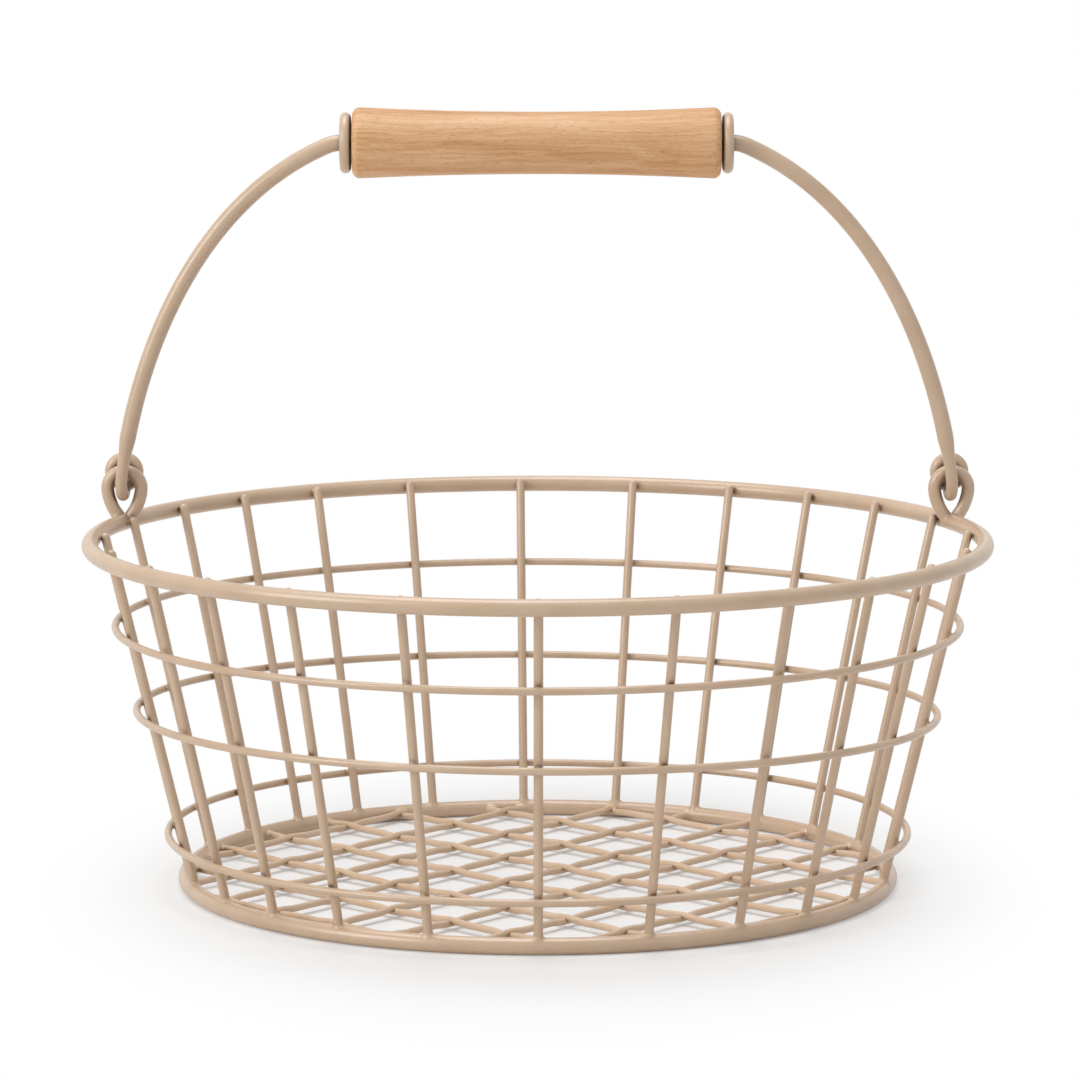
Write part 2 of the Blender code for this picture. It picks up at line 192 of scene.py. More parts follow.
RIM_RADIUS, RIM_HEIGHT = ring_place("rim_ring", FRAME_WIRE)
BASE_RADIUS, BASE_HEIGHT = ring_place("base_ring", FRAME_WIRE)
EAR_X = (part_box("ear_right")[0].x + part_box("ear_right")[1].x) / 2
EAR_Y = BAIL_HINGE.y
HOOK_REACH = EAR_WIRE / 2 + HOOK_WIRE / 2 + HOOK_CLEARANCE
MESH_HEIGHT = (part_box("base_wire_left_4")[0].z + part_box("base_wire_left_4")[1].z) / 2
MESH_PITCHES = {family: BASE_RADIUS * share for family, share in MESH_PITCH_SHARES.items()}
MESH_SHIFTS = {family: MESH_PITCHES[family] * share for family, share in MESH_SHIFT_SHARES.items()}
MESH_CROSSING = MESH_HEADINGS["right"] - MESH_HEADINGS["left"]


class Shape:
    """Vertices and faces of one piece, gathered from several closed skins."""

    def __init__(self):
        self.points = []
        self.faces = []

    def add(self, points, faces):
        start = len(self.points)
        self.points.extend([tuple(point) for point in points])
        self.faces.extend([tuple(start + i for i in face) for face in faces])

    def piece(self, name, body, nodes, material):
        mesh = bpy.data.meshes.new(name)
        mesh.from_pydata(self.points, [], self.faces)
        mesh.validate()
        mesh.materials.append(material)
        mesh.shade_smooth()
        mesh.set_sharp_from_angle(angle=SHARP_ANGLE)
        made = bpy.data.objects.new(name, mesh)
        bpy.context.scene.collection.objects.link(made)
        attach(made, body)
        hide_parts(*nodes)


def ring_skin(rings, closed):
    """Points and faces over equal rings of points. An open run gets a flat face at each end."""
    sides = len(rings[0])
    points = [point for ring in rings for point in ring]
    faces = []
    count = len(rings)
    for i in range(count if closed else count - 1):
        row, after = i * sides, (i + 1) % count * sides
        for j in range(sides):
            k = (j + 1) % sides
            faces.append((row + j, after + j, after + k, row + k))
    if not closed:
        faces.append(tuple(range(sides)))
        faces.append(tuple(reversed(range((count - 1) * sides, count * sides))))
    return points, faces


def circle(radius, sides):
    turns = [2 * math.pi * i / sides for i in range(sides)]
    return [(radius * math.cos(turn), radius * math.sin(turn)) for turn in turns]


def tube(path, radii, sides):
    """Rings of a wire along a path, carried from point to point without twist."""
    rings = []
    along = (path[1] - path[0]).normalized()
    across = along.orthogonal().normalized()
    for i, point in enumerate(path):
        before = (point - path[i - 1]).normalized() if i else along
        after = (path[i + 1] - point).normalized() if i + 1 < len(path) else before
        heading = (before + after).normalized()
        across = along.rotation_difference(heading) @ across
        along = heading
        up = along.cross(across)
        rings.append([point + across * a + up * b for a, b in circle(radii[i], sides)])
    return rings


def rounded_end(path, radii, edge):
    """Lengthens a wire's last end by a rounded edge."""
    heading = (path[-1] - path[-2]).normalized()
    end, radius = path[-1], radii[-1]
    for turn in TIP_TURNS:
        path.append(end + heading * (edge * math.sin(turn)))
        radii.append(radius - edge * (1 - math.cos(turn)))
    return path, radii


def arc(centre, radius, first, last, steps):
    """Points (across, up) on an arc from one angle to another, both ends among them."""
    angles = [first + (last - first) * i / steps for i in range(steps + 1)]
    return [
        (centre[0] + radius * math.cos(angle), centre[1] + radius * math.sin(angle))
        for angle in angles
    ]


def curve(start, leaving, arriving, end, steps):
    """Points on the smooth curve between two ends, drawn towards two points between them."""
    points = []
    for i in range(steps + 1):
        done = i / steps
        left = 1 - done
        first = start * left**3 + leaving * (3 * left**2 * done)
        second = arriving * (3 * left * done**2) + end * done**3
        points.append(first + second)
    return points


def ring_distance(at, radius, height, wire):
    """Distance from the skin of a level ring of wire, below zero inside it."""
    out = np.hypot(at[..., 0], at[..., 1]) - radius
    return np.hypot(out, at[..., 2] - height) - wire / 2


def rod_distance(at, start, end, wire):
    """Distance from the skin of a straight rod with round ends."""
    start, end = np.array(start), np.array(end)
    run = end - start
    share = np.clip(((at - start) @ run) / (run @ run), 0, 1)
    return np.linalg.norm(at - start - share[..., None] * run, axis=-1) - wire / 2


def smooth_union(first, second, fillet):
    """Joins two distances with a fillet about as wide as asked."""
    share = np.clip(1 - np.abs(first - second) / fillet, 0, None)
    return np.minimum(first, second) - share**2 * fillet / 4


def weld_skin(field, centre, reach, cell):
    """A closed skin of the welded shape within reach of its centre.

    It sinks a little below the wires that it joins, so only the fillets between them show. It
    is drawn with one point in each cell of a grid that the skin crosses and one face across
    each edge of the grid that it cuts. The points are then moved onto the skin.
    """
    centre = np.array(centre)

    def level(at):
        away = np.linalg.norm(at - centre, axis=-1)
        return np.maximum(field(at) + WELD_SINK * (1 + (away / reach) ** 2), away - reach)

    count = math.ceil(reach / cell) + 1
    steps = np.arange(-count, count + 1) * cell
    grid = np.stack(np.meshgrid(steps, steps, steps, indexing="ij"), axis=-1) + centre
    values = level(grid)
    inside = values < 0
    size = len(steps) - 1

    def corner(array, shift):
        x, y, z = shift
        return array[x : x + size, y : y + size, z : z + size]

    total = np.zeros((size, size, size, 3))
    hits = np.zeros((size, size, size))
    for axis in range(3):
        for a in (0, 1):
            for b in (0, 1):
                near = [0, 0, 0]
                near[(axis + 1) % 3], near[(axis + 2) % 3] = a, b
                far = list(near)
                far[axis] = 1
                v0, v1 = corner(values, near), corner(values, far)
                crosses = (v0 < 0) != (v1 < 0)
                share = np.where(crosses, v0 / np.where(crosses, v0 - v1, 1), 0)
                point = corner(grid, near).copy()
                point[..., axis] += share * cell
                total += np.where(crosses[..., None], point, 0)
                hits += crosses
    active = hits > 0
    numbers = np.full(active.shape, -1)
    numbers[active] = np.arange(active.sum())
    points = total[active] / hits[active][:, None]
    faces = []
    for axis in range(3):
        other, third = (axis + 1) % 3, (axis + 2) % 3
        low = [slice(None)] * 3
        high = [slice(None)] * 3
        low[axis], high[axis] = slice(0, -1), slice(1, None)
        starts, ends = inside[tuple(low)], inside[tuple(high)]
        for place in np.argwhere(starts != ends):
            quad = []
            for a, b in ((-1, -1), (0, -1), (0, 0), (-1, 0)):
                cell_at = place.copy()
                cell_at[other] += a
                cell_at[third] += b
                quad.append(int(numbers[tuple(cell_at)]))
            faces.append(tuple(quad) if starts[tuple(place)] else tuple(reversed(quad)))
    nudge = cell / 20
    for _ in range(SETTLING_ROUNDS):
        slopes = []
        for axis in range(3):
            aside = nudge * np.eye(3)[axis]
            slopes.append((level(points + aside) - level(points - aside)) / (2 * nudge))
        slope = np.stack(slopes, axis=-1)
        steep = np.maximum((slope**2).sum(-1), LEAST_STEEPNESS)
        move = slope * (level(points) / steep)[:, None]
        points = points - np.clip(move, -cell / 2, cell / 2)
    return points, faces


def turned_about_axis(points, azimuth):
    """Turns points about Z, from azimuth 0 to another."""
    c, s = math.cos(azimuth), math.sin(azimuth)
    points = np.asarray(points)
    x = points[:, 0] * c + points[:, 1] * s
    y = -points[:, 0] * s + points[:, 1] * c
    return np.stack([x, y, points[:, 2]], axis=1)


# Materials

def feed(tree, socket, value):
    """Gives an input a plain value, or links it to another node's output."""
    if isinstance(value, bpy.types.NodeSocket):
        tree.links.new(value, socket)
    else:
        socket.default_value = value


def set_up(tree, made, **settings):
    """Sets a node's properties and feeds its inputs, by name, with _ for a space."""
    for name, value in settings.items():
        if hasattr(made, name):
            setattr(made, name, value)
        else:
            feed(tree, made.inputs[name.replace("_", " ")], value)
    return made


def node(tree, kind, **settings):
    return set_up(tree, tree.nodes.new(kind), **settings)


def maths(tree, kind, operation, *values):
    """A math node whose inputs are fed in order."""
    made = node(tree, kind, operation=operation)
    for socket, value in zip(made.inputs, values):
        feed(tree, socket, value)
    return made


def new_material(name):
    material = bpy.data.materials.new(name)
    material.use_nodes = True
    tree = material.node_tree
    shader = tree.nodes["Principled BSDF"]
    return material, tree, shader


def ramp(tree, factor, stops):
    made = tree.nodes.new("ShaderNodeValToRGB")
    made.color_ramp.elements[0].position = stops[0][0]
    made.color_ramp.elements[0].color = (*stops[0][1], 1)
    made.color_ramp.elements[1].position = stops[-1][0]
    made.color_ramp.elements[1].color = (*stops[-1][1], 1)
    for place, colour in stops[1:-1]:
        element = made.color_ramp.elements.new(place)
        element.color = (*colour, 1)
    tree.links.new(factor, made.inputs["Fac"])
    return made.outputs["Color"]


def grey(level):
    return (level, level, level)


def mix_colours(tree, share, first, second):
    """Where share is 1 the plain colour second takes the place of the linked colour first."""
    made = node(tree, "ShaderNodeMix", data_type="RGBA", Factor=share)
    a, b = [socket for socket in made.inputs if socket.name in ("A", "B") and socket.type == "RGBA"]
    tree.links.new(first, a)
    b.default_value = (*second, 1)
    return next(socket for socket in made.outputs if socket.type == "RGBA")


def mix_shaders(tree, share, first, second):
    """Where share is 1 second takes the place of first."""
    made = tree.nodes.new("ShaderNodeMixShader")
    for socket, source in zip(made.inputs, (share, first, second)):
        tree.links.new(source, socket)
    return made.outputs["Shader"]


def seen_by(tree, *rays):
    """1 for the named kinds of ray and 0 for all others."""
    path = tree.nodes.new("ShaderNodeLightPath")
    seen = path.outputs[rays[0]]
    for ray in rays[1:]:
        seen = maths(tree, "ShaderNodeMath", "MAXIMUM", seen, path.outputs[ray]).outputs["Value"]
    return seen


# Painted light: the mesh, deepest in the basket, gets a lighter copy of the coat's tones
COAT_LIGHT = (0.580, 0.415, 0.280)
COAT_MIDDLE = (0.545, 0.382, 0.250)
COAT_DEEP = (0.505, 0.347, 0.218)
# Painted shade: the near-black brown that the coat takes in weld corners and crevices
COAT_PAINTED_SHADE = (0.075, 0.036, 0.014)
COAT_LIFT = 1.0
MESH_PAINTED_LIGHT_LIFT = 1.14
# How far the painted shade looks for nearby wires, and the heights over which it fades in above the
# floor
PAINTED_SHADE_REACH = 0.0040
PAINTED_SHADE_CLEAR_LOW = 0.0016
PAINTED_SHADE_CLEAR_HIGH = 0.0030


def powder_coat(name, painted_light_lift):
    """Satin powder coat: faint orange peel, slow tone changes, painted shade in weld corners."""
    material, tree, shader = new_material(name)
    place = tree.nodes.new("ShaderNodeTexCoord").outputs["Object"]
    tone = node(tree, "ShaderNodeTexNoise", Vector=place, Scale=55.0, Detail=5.0, Roughness=0.6)
    tones = [(0.3, COAT_DEEP), (0.5, COAT_MIDDLE), (0.72, COAT_LIGHT)]
    # Painted light: the lift makes a lighter copy of the coat's tones
    tones = [(share, tuple(painted_light_lift * level for level in colour)) for share, colour in tones]
    colour = ramp(tree, tone.outputs["Fac"], tones)
    # Painted shade: where ambient occlusion finds a weld corner or crevice, the coat darkens
    corner = node(tree, "ShaderNodeAmbientOcclusion", samples=8, Distance=PAINTED_SHADE_REACH)
    shade_depths = [(0.34, grey(1.0)), (0.52, grey(0.5)), (0.70, grey(0.0))]
    mask = ramp(tree, corner.outputs["AO"], shade_depths)
    # The painted shade is left off the base ring's underside, where it meets the floor
    clear = node(
        tree,
        "ShaderNodeMapRange",
        Value=node(tree, "ShaderNodeSeparateXYZ", Vector=place).outputs["Z"],
        From_Min=PAINTED_SHADE_CLEAR_LOW,
        From_Max=PAINTED_SHADE_CLEAR_HIGH,
    )
    painted_shade = maths(tree, "ShaderNodeMath", "MULTIPLY", mask, clear.outputs["Result"])
    peel = node(tree, "ShaderNodeTexNoise", Vector=place, Scale=420.0, Detail=1.0, Roughness=0.5)
    peel = peel.outputs["Fac"]
    bump = node(tree, "ShaderNodeBump", Strength=0.12, Distance=0.0001, Height=peel)
    set_up(
        tree,
        shader,
        Base_Color=mix_colours(tree, painted_shade.outputs["Value"], colour, COAT_PAINTED_SHADE),
        Roughness=ramp(tree, peel, [(0.3, grey(0.28)), (0.7, grey(0.36))]),
        Normal=bump.outputs["Normal"],
        IOR=1.5,
        Specular_IOR_Level=1.0,
    )
    return material


BEECH_PALE = (0.755, 0.470, 0.262)
BEECH_MIDDLE = (0.670, 0.372, 0.180)
BEECH_DEEP = (0.540, 0.275, 0.115)
BEECH_FLECK = (0.400, 0.185, 0.075)
BEECH_WANDER = 0.005
BEECH_BROAD_SHARE = 0.45


def beech():
    """Turned beech: slow figure, wavy streaks along the grip and short darker flecks."""
    material, tree, shader = new_material("turned_beech")
    place = tree.nodes.new("ShaderNodeTexCoord").outputs["Object"]

    def noise(vector, along, across, detail, roughness):
        """Noise drawn out along the grip, by its scale along it and across it."""
        scaled = node(tree, "ShaderNodeMapping", Vector=vector, Scale=(along, across, across))
        return node(
            tree,
            "ShaderNodeTexNoise",
            Vector=scaled.outputs["Vector"],
            Scale=1.0,
            Detail=detail,
            Roughness=roughness,
        )

    # The grain wanders a little off the grip's length
    wander = noise(place, along=26.0, across=60.0, detail=2.0, roughness=0.5).outputs["Color"]
    aside = (0.0, BEECH_WANDER, BEECH_WANDER)
    wavy = maths(tree, "ShaderNodeVectorMath", "MULTIPLY_ADD", wander, aside, place)
    wavy = wavy.outputs["Vector"]
    fine = noise(wavy, along=22.0, across=1100.0, detail=4.0, roughness=0.65)
    broad = noise(wavy, along=9.0, across=150.0, detail=2.0, roughness=0.5)
    streaks = node(
        tree,
        "ShaderNodeMix",
        data_type="FLOAT",
        Factor=BEECH_BROAD_SHARE,
        A=fine.outputs["Fac"],
        B=broad.outputs["Fac"],
    )
    grain = streaks.outputs["Result"]
    wood = ramp(tree, grain, [(0.36, BEECH_DEEP), (0.50, BEECH_MIDDLE), (0.62, BEECH_PALE)])
    flecks = noise(wavy, along=420.0, across=3600.0, detail=1.0, roughness=0.4)
    mask = ramp(tree, flecks.outputs["Fac"], [(0.60, grey(0.0)), (0.70, grey(0.5))])
    bump = node(tree, "ShaderNodeBump", Strength=0.3, Distance=0.00012, Height=grain)
    set_up(
        tree,
        shader,
        Base_Color=mix_colours(tree, mask, wood, BEECH_FLECK),
        Roughness=ramp(tree, grain, [(0.35, grey(0.58)), (0.65, grey(0.45))]),
        Normal=bump.outputs["Normal"],
        IOR=1.45,
    )
    return material


COAT = powder_coat("powder_coat", COAT_LIFT)
# The mesh's coat is a lighter copy, painted light
MESH_COAT_PAINTED_LIGHT = powder_coat("powder_coat_mesh_painted_light", MESH_PAINTED_LIGHT_LIFT)
BEECH = beech()


# Staves lean from the base ring to the inner side of the rim

def stave_foot():
    """(radius, height) of the middle of a stave's foot, on top of the base ring."""
    return BASE_RADIUS, BASE_HEIGHT + FRAME_WIRE / 2 + WELD_GAP


def stave_lean():
    """The lean that lays a stave against the inner side of the rim."""
    radius, height = stave_foot()
    run = RIM_RADIUS - radius
    rise = RIM_HEIGHT - height
    apart = FRAME_WIRE / 2 + WELD_GAP + STAVE_WIRE / 2
    return math.atan2(run, rise) - math.asin(apart / math.hypot(run, rise))


def stave_at(height):
    """The middle of the stave at azimuth 0, at a height."""
    radius, foot = stave_foot()
    return Vector((0.0, radius + (height - foot) * math.tan(stave_lean()), height))


def stave_azimuth(number):
    low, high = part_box(f"stave_{number:02d}")
    return math.atan2(low.x + high.x, low.y + high.y)


STAVE_AZIMUTHS = [stave_azimuth(number) for number in range(1, STAVE_COUNT + 1)]
STAVE_TOP = RIM_HEIGHT + STAVE_TOP_RISE


def stave_distance(at):
    return rod_distance(at, stave_at(BASE_HEIGHT), stave_at(STAVE_TOP - STAVE_TIP), STAVE_WIRE)


def staves():
    """Each stave runs into the base ring and ends in a rounded tip against the rim."""
    path = [stave_at(BASE_HEIGHT), stave_at(BASE_HEIGHT + FRAME_WIRE)]
    path += [stave_at(BASE_HEIGHT + FRAME_WIRE + i * STAVE_STEP) for i in range(1, 5)]
    path.append(stave_at(STAVE_TOP - STAVE_TIP))
    path, radii = rounded_end(path, [STAVE_WIRE / 2] * len(path), STAVE_TIP)
    points, faces = ring_skin(tube(path, radii, THIN_SIDES), False)
    for number, azimuth in enumerate(STAVE_AZIMUTHS, 1):
        shape = Shape()
        shape.add(turned_about_axis(points, azimuth), faces)
        name = f"stave_{number:02d}"
        shape.piece(name + "_rod", "basket", [name], COAT)


# Rings round the staves

def add_welds(shape, ring, centre, reach, fillets, climb_at=None):
    """A weld between each stave and a ring, which is given by its radius, height and wire.

    A ring that isn't level has climb_at, and its welds move up the staves' lean with it.
    """
    skins = []
    for fillet in fillets:

        def field(at):
            return smooth_union(stave_distance(at), ring_distance(at, *ring), fillet)

        skins.append(weld_skin(field, centre, reach, WELD_CELL))
    for number, azimuth in enumerate(STAVE_AZIMUTHS):
        points, faces = skins[number % len(skins)]
        if climb_at:
            climb = climb_at(azimuth)
            points = points + np.array([0.0, climb * math.tan(stave_lean()), climb])
        shape.add(turned_about_axis(points, azimuth), faces)


def add_level_ring(shape, radius, height, wire, floor=-math.inf):
    """A level ring of wire, cut flat where it would pass below the floor."""
    outline = [(radius + across, height + up) for across, up in circle(wire / 2, FRAME_SIDES)]
    rings = []
    for i in range(RING_STEPS):
        turn = 2 * math.pi * i / RING_STEPS
        rings.append([(r * math.sin(turn), r * math.cos(turn), max(z, floor)) for r, z in outline])
    shape.add(*ring_skin(rings, True))


def rim():
    shape = Shape()
    add_level_ring(shape, RIM_RADIUS, RIM_HEIGHT, FRAME_WIRE)
    ring = (RIM_RADIUS, RIM_HEIGHT, FRAME_WIRE)
    centre = stave_at(RIM_HEIGHT) + Vector((0.0, RIM_WELD_OUT, 0.0))
    add_welds(shape, ring, centre, RIM_WELD_REACH, RIM_WELD_FILLETS)
    shape.piece("rim_ring_wire", "basket", ["rim_ring"], COAT)


def base_ring():
    shape = Shape()
    add_level_ring(shape, BASE_RADIUS, BASE_HEIGHT, FRAME_WIRE, floor=0.0)
    ring = (BASE_RADIUS, BASE_HEIGHT, FRAME_WIRE)
    centre = Vector((0.0, BASE_RADIUS, BASE_HEIGHT + FRAME_WIRE / 2))
    add_welds(shape, ring, centre, BASE_WELD_REACH, BASE_WELD_FILLETS)
    shape.piece("base_ring_wire", "basket", ["base_ring"], COAT)


def hoop_radius(height):
    """The radius at which a hoop lies against the outer side of the staves."""
    apart = (STAVE_WIRE + HOOP_WIRE) / 2 + WELD_GAP
    return stave_at(height).y + apart / math.cos(stave_lean())


def hoop(name):
    """A hoop round the staves, level or at a slope, with a weld on each stave."""
    height = HOOP_HEIGHTS[name]
    slopes = HOOP_SLOPES.get(name, (0.0, 0.0))
    radius = hoop_radius(height)

    def climb_at(azimuth):
        climb = slopes[0] * math.sin(azimuth) + slopes[1] * math.cos(azimuth)
        return climb * radius / (1 - climb * math.tan(stave_lean()))

    section = circle(HOOP_WIRE / 2, THIN_SIDES)
    rings = []
    for i in range(RING_STEPS):
        azimuth = 2 * math.pi * i / RING_STEPS
        sine, cosine = math.sin(azimuth), math.cos(azimuth)
        climb = climb_at(azimuth)
        middle = radius + climb * math.tan(stave_lean())
        rings.append(
            [((middle + a) * sine, (middle + a) * cosine, height + climb + b) for a, b in section]
        )
    shape = Shape()
    shape.add(*ring_skin(rings, True))
    ring = (radius, height, HOOP_WIRE)
    centre = stave_at(height) + Vector((0.0, STAVE_WIRE / 2, 0.0))
    add_welds(shape, ring, centre, HOOP_WELD_REACH, HOOP_WELD_FILLETS, climb_at)
    shape.piece(name + "_wire", "basket", [name], COAT)


# Woven base

def mesh_offsets(family):
    """How far each wire of a family lies from the basket's axis, to the left of its run."""
    reach = BASE_RADIUS * MESH_REACH_SHARE
    pitch = MESH_PITCHES[family]
    most = math.ceil(BASE_RADIUS / pitch) + 1
    places = [MESH_SHIFTS[family] + i * pitch for i in range(-most, most + 1)]
    return [place for place in places if abs(place) < reach]


def crimp_height(along, first_crossing, spacing, over):
    """Height of a crimped wire's middle: level, with a short soft hump or dip at each crossing."""
    nearest = round((along - first_crossing) / spacing)
    aside = abs(along - first_crossing - nearest * spacing) / MESH_HUMP_REACH
    sign = 1 if (nearest % 2 == 0) == over else -1
    return sign * MESH_HUMP_RISE * math.cos(math.pi / 2 * min(aside, 1.0)) ** 2


def mesh_wire(name, offset, heading, first_crossing, spacing, over):
    """A crimped wire across the base ring, welded to its inner side at both ends."""
    run = Vector((math.cos(heading), math.sin(heading), 0.0))
    left = Vector((-math.sin(heading), math.cos(heading), 0.0))
    seat = BASE_RADIUS - FRAME_WIRE / 2 + MESH_WELD_BITE
    half = math.sqrt(seat**2 - offset**2)
    steps = max(4, math.ceil(2 * half / MESH_STEP))
    path = []
    for i in range(steps + 1):
        along = -half + 2 * half * i / steps
        height = MESH_HEIGHT + crimp_height(along, first_crossing, spacing, over)
        path.append(run * along + left * offset + Vector((0.0, 0.0, height)))
    shape = Shape()
    shape.add(*ring_skin(tube(path, [MESH_WIRE / 2] * len(path), MESH_SIDES), False))
    for end, inward in ((path[0], path[MESH_WELD_STEPS]), (path[-1], path[-1 - MESH_WELD_STEPS])):

        def field(at):
            wire = rod_distance(at, end, inward, MESH_WIRE)
            ring = ring_distance(at, BASE_RADIUS, BASE_HEIGHT, FRAME_WIRE)
            joined = smooth_union(wire, ring, MESH_WELD_FILLET)
            return np.maximum(joined, MESH_WELD_FLOOR - at[..., 2])

        centre = end + (inward - end).normalized() * MESH_WELD_BITE
        shape.add(*weld_skin(field, centre, MESH_WELD_REACH, WELD_CELL))
    shape.piece(name + "_rod", "basket", [name], MESH_COAT_PAINTED_LIGHT)


def base_mesh():
    """A right wire runs to the back and right, a left wire to the front and right."""
    for family, other in (("right", "left"), ("left", "right")):
        spacing = MESH_PITCHES[other] / math.sin(MESH_CROSSING)
        side = 1 if family == "right" else -1
        for index, offset in enumerate(mesh_offsets(family)):
            meeting = MESH_SHIFTS[other] - offset * math.cos(MESH_CROSSING)
            first_crossing = side * meeting / math.sin(MESH_CROSSING)
            step = round((offset - MESH_SHIFTS[family]) / MESH_PITCHES[family])
            over = (step % 2 == 0) == (family == "left")
            name = f"base_wire_{family}_{index + 1}"
            mesh_wire(name, offset, MESH_HEADINGS[family], first_crossing, spacing, over)


# Ears

def ear_path():
    """(across, up) points of an ear, from its loop's centre: a round top on two bowed legs."""
    foot = Vector((EAR_WIRE / 2 + EAR_FOOT_SLIT / 2, FRAME_WIRE / 2 - EAR_RISE))
    side = Vector((EAR_LOOP_RADIUS, 0.0))
    splay = Vector((math.sin(EAR_FOOT_SPLAY), math.cos(EAR_FOOT_SPLAY)))
    lead = foot + splay * EAR_FOOT_LEAD
    leg = curve(foot, lead, side - Vector((0.0, EAR_SIDE_LEAD)), side, EAR_LEG_STEPS)
    right = [tuple(foot - splay * EAR_FOOT_BITE)] + [tuple(point) for point in leg[:-1]]
    left = [(-across, up) for across, up in right]
    top = arc((0.0, 0.0), EAR_LOOP_RADIUS, 0.0, math.pi, EAR_TOP_STEPS)
    return right + top + left[::-1]


def ear(name, side):
    centre = Vector((side * EAR_X, EAR_Y, RIM_HEIGHT + EAR_RISE))
    path = [centre + Vector((across, 0.0, up)) for across, up in ear_path()]
    shape = Shape()
    shape.add(*ring_skin(tube(path, [EAR_WIRE / 2] * len(path), BAIL_SIDES), False))
    legs = [(path[0], path[EAR_WELD_STEPS]), (path[-1], path[-1 - EAR_WELD_STEPS])]

    def field(at):
        ring = ring_distance(at, RIM_RADIUS, RIM_HEIGHT, FRAME_WIRE)
        aside = np.abs(at[..., 0] - centre.x)
        fade = np.clip((aside - EAR_FADE_START) / EAR_FADE_WIDTH, 0, 1)
        fillet = EAR_FILLET_INSIDE + EAR_FILLET_GAIN * fade
        joined = [smooth_union(rod_distance(at, *leg, EAR_WIRE), ring, fillet) for leg in legs]
        return np.minimum(joined[0], joined[1])

    middle = Vector((side * EAR_X, EAR_Y, RIM_HEIGHT + FRAME_WIRE / 2))
    shape.add(*weld_skin(field, middle, EAR_WELD_REACH, EAR_WELD_CELL))
    shape.piece(name + "_loop", "basket", [name], COAT)


# Bail

def bail_wire_radius(rise):
    """The bail's wire thins towards its hooks, by height above the hinge."""
    share = min(max((rise - TAPER_LOW) / (TAPER_HIGH - TAPER_LOW), 0.0), 1.0)
    share = share * share * (3 - 2 * share)
    return (HOOK_WIRE + share * (BAIL_WIRE - HOOK_WIRE)) / 2


def bail_half():
    """(point, wire radius) pairs of the right half, about the middle of the hinge.

    From the collar the wire bends over into the arm, which runs down in front of the ear. The
    hook goes under the ear's top to the back, and ends in the eye.
    """
    collar_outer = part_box("collar_right")[1].x - BAIL_HINGE.x
    bend_radius = BAIL_BEND_LEAD / math.tan(BAIL_SLOPE / 2)
    bend_centre = (collar_outer, GRIP_RISE - bend_radius)
    bend_end = math.pi / 2 - BAIL_SLOPE
    bend = arc(bend_centre, bend_radius, math.pi / 2, bend_end, BEND_STEPS)
    start = Vector(bend[-1])
    end = Vector((EAR_X + HOOK_LEAN / 2, -HOOK_SLACK))
    leaving = Vector((math.cos(BAIL_SLOPE), -math.sin(BAIL_SLOPE))) * (BAIL_SHOULDER_SHARE * EAR_X)
    arriving = Vector((-math.sin(BAIL_LEAN), math.cos(BAIL_LEAN))) * (BAIL_DROP_SHARE * EAR_X)
    arm = curve(start, start + leaving, end + arriving, end, ARM_STEPS)
    pairs = []
    for x, z in bend[:-1] + [tuple(point) for point in arm]:
        pairs.append((Vector((x, -HOOK_REACH, z)), bail_wire_radius(z)))
    hook = arc((0.0, -HOOK_SLACK), HOOK_REACH, math.pi, HOOK_SWEEP_END, HOOK_STEPS)
    for y, z in hook[1:]:
        inboard = HOOK_LEAN / 2 * y / HOOK_REACH
        pairs.append((Vector((EAR_X - inboard, y, z)), HOOK_WIRE / 2))
    eye = []
    for i in range(EYE_STEPS + 1):
        turn = EYE_START + (EYE_END - EYE_START) * i / EYE_STEPS
        x = EAR_X + EYE_RADIUS * math.cos(turn)
        z = EYE_RADIUS * math.sin(turn) - EYE_DROP
        eye.append(Vector((x, HOOK_REACH, z)))
    tail = pairs[-1][0]
    out = (tail - pairs[-2][0]).normalized()
    into = (eye[1] - eye[0]).normalized()
    pull = HOOK_LINK_SHARE * (eye[0] - tail).length
    link = curve(tail, tail + out * pull, eye[0] - into * pull, eye[0], LINK_STEPS)[1:-1]
    for point in link + eye:
        pairs.append((point, HOOK_WIRE / 2))
    return pairs


def bail():
    right = bail_half()
    points = [point for point, _ in right]
    radii = [radius for _, radius in right]
    points, radii = rounded_end(points, radii, HOOK_TIP)
    left = [Vector((-p.x, p.y, p.z)) for p in points][::-1]
    path = [BAIL_HINGE + p for p in left + points]
    shape = Shape()
    shape.add(*ring_skin(tube(path, radii[::-1] + radii, BAIL_SIDES), False))
    shape.piece("bail_wire", "bail", ["bail"], COAT)


# Grip and collars

def turned_skin(outline, centre):
    """A hollow piece turned about X, from (along, radius) pairs round its wall."""
    rings = []
    for i in range(TURNED_STEPS):
        turn = 2 * math.pi * i / TURNED_STEPS
        rings.append(
            [
                centre + Vector((x, radius * math.sin(turn), radius * math.cos(turn)))
                for x, radius in outline
            ]
        )
    return ring_skin(rings, True)


def grip():
    low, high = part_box("grip")
    half = (high.x - low.x) / 2
    end_radius = (high.z - low.z) / 2
    waist_depth = end_radius - GRIP_WAIST_DIAMETER / 2
    bore = GRIP_BORE / 2
    mouth = [(half - GRIP_BORE_EDGE, bore), (half, bore + GRIP_BORE_EDGE)]
    edge_centre = (half - GRIP_EDGE, end_radius - GRIP_EDGE)
    edge = arc(edge_centre, GRIP_EDGE, 0.0, math.pi / 2, GRIP_EDGE_STEPS)
    flank = []
    for i in range(1, GRIP_FLANK_STEPS + 1):
        share = 1 - i / GRIP_FLANK_STEPS
        flank.append((share * (half - GRIP_EDGE), end_radius - waist_depth * (1 - share**2)))
    right = mouth + edge + flank[:-1]
    left = [(-x, radius) for x, radius in right]
    outline = right + flank[-1:] + left[::-1]
    shape = Shape()
    shape.add(*turned_skin(outline, GRIP_CENTRE))
    shape.piece("grip_wood", "grip", ["grip"], BEECH)


